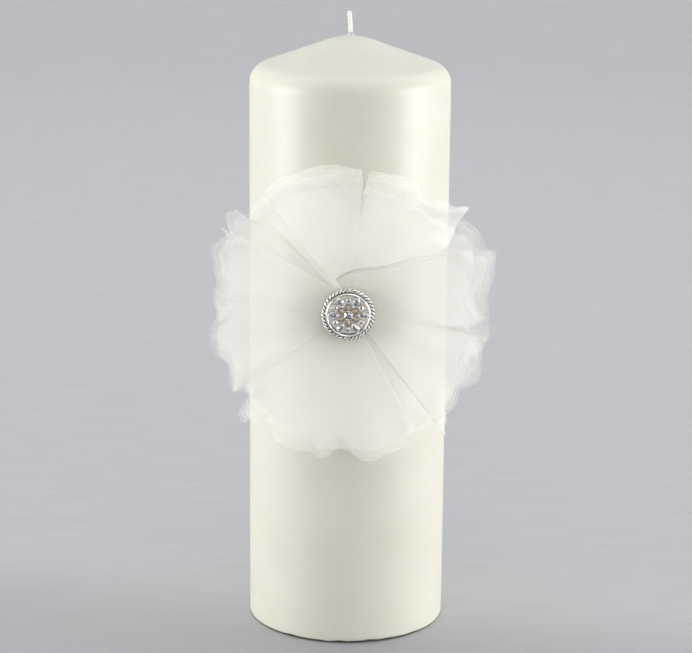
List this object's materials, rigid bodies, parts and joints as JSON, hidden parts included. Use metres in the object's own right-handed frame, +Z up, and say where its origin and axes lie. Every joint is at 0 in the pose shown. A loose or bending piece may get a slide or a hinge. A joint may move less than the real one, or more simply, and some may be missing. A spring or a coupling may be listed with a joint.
{
  "type": "unity candle",
  "caption": "Round ivory pillar candle with a cone top and bare wick, and a pull-off tulle flower with a round silver and crystal button pinned to its front.",
  "frame": {"origin": "centre of the candle's flat base, on the surface it stands on", "axes": "+Z up along the candle's axis, -Y out of the candle's front, through the flower and its button, +X to the right as the flower is looked at"},
  "size_m": [0.1101, 0.0851, 0.2389],
  "materials": {
    "ivory_wax": "satin, smooth moulded paraffin wax",
    "wick_cotton": "braided cotton, waxed",
    "steel": "plain tinned steel",
    "felt": "ivory felt",
    "tulle": "sheer ivory tulle, folded in plies",
    "silver": "antiqued silver plate",
    "cream_enamel": "cream enamel",
    "champagne_enamel": "champagne enamel",
    "crystal": "clear cut rhinestone, foil backed",
    "thread": "white cotton thread"
  },
  "bodies": {
    "candle": {"candle_body": "ivory_wax", "wick": "wick_cotton", "wick_sustainer": "steel"},
    "ornament": {"back_petal_lower_left": "tulle", "back_petal_lower_right": "tulle", "back_petal_upper_left": "tulle", "back_petal_upper_right": "tulle", "button_base": "silver", "centre_stone": "crystal", "champagne_inlay_1": "champagne_enamel", "champagne_inlay_2": "champagne_enamel", "champagne_inlay_3": "champagne_enamel", "champagne_inlay_4": "champagne_enamel", "champagne_inlay_5": "champagne_enamel", "champagne_inlay_6": "champagne_enamel", "cream_lining": "cream_enamel", "felt_backing": "felt", "front_petal_bottom": "tulle", "front_petal_left": "tulle", "front_petal_right": "tulle", "front_petal_top": "tulle", "inner_ring": "silver", "marquise_stone_1": "crystal", "marquise_stone_2": "crystal", "marquise_stone_3": "crystal", "marquise_stone_4": "crystal", "marquise_stone_5": "crystal", "marquise_stone_6": "crystal", "ornament_pin_left": "steel", "ornament_pin_right": "steel", "rope_border": "silver", "round_stone_1": "crystal", "round_stone_2": "crystal", "round_stone_3": "crystal", "round_stone_4": "crystal", "round_stone_5": "crystal", "round_stone_6": "crystal", "shank_thread": "thread", "star_setting": "silver"}
  },
  "joints": [
    {"name": "ornament_pull", "type": "slide", "parent": "candle", "child": "ornament", "axis": [0, -1, 0], "range_m": [0, 0.022]}
  ]
}
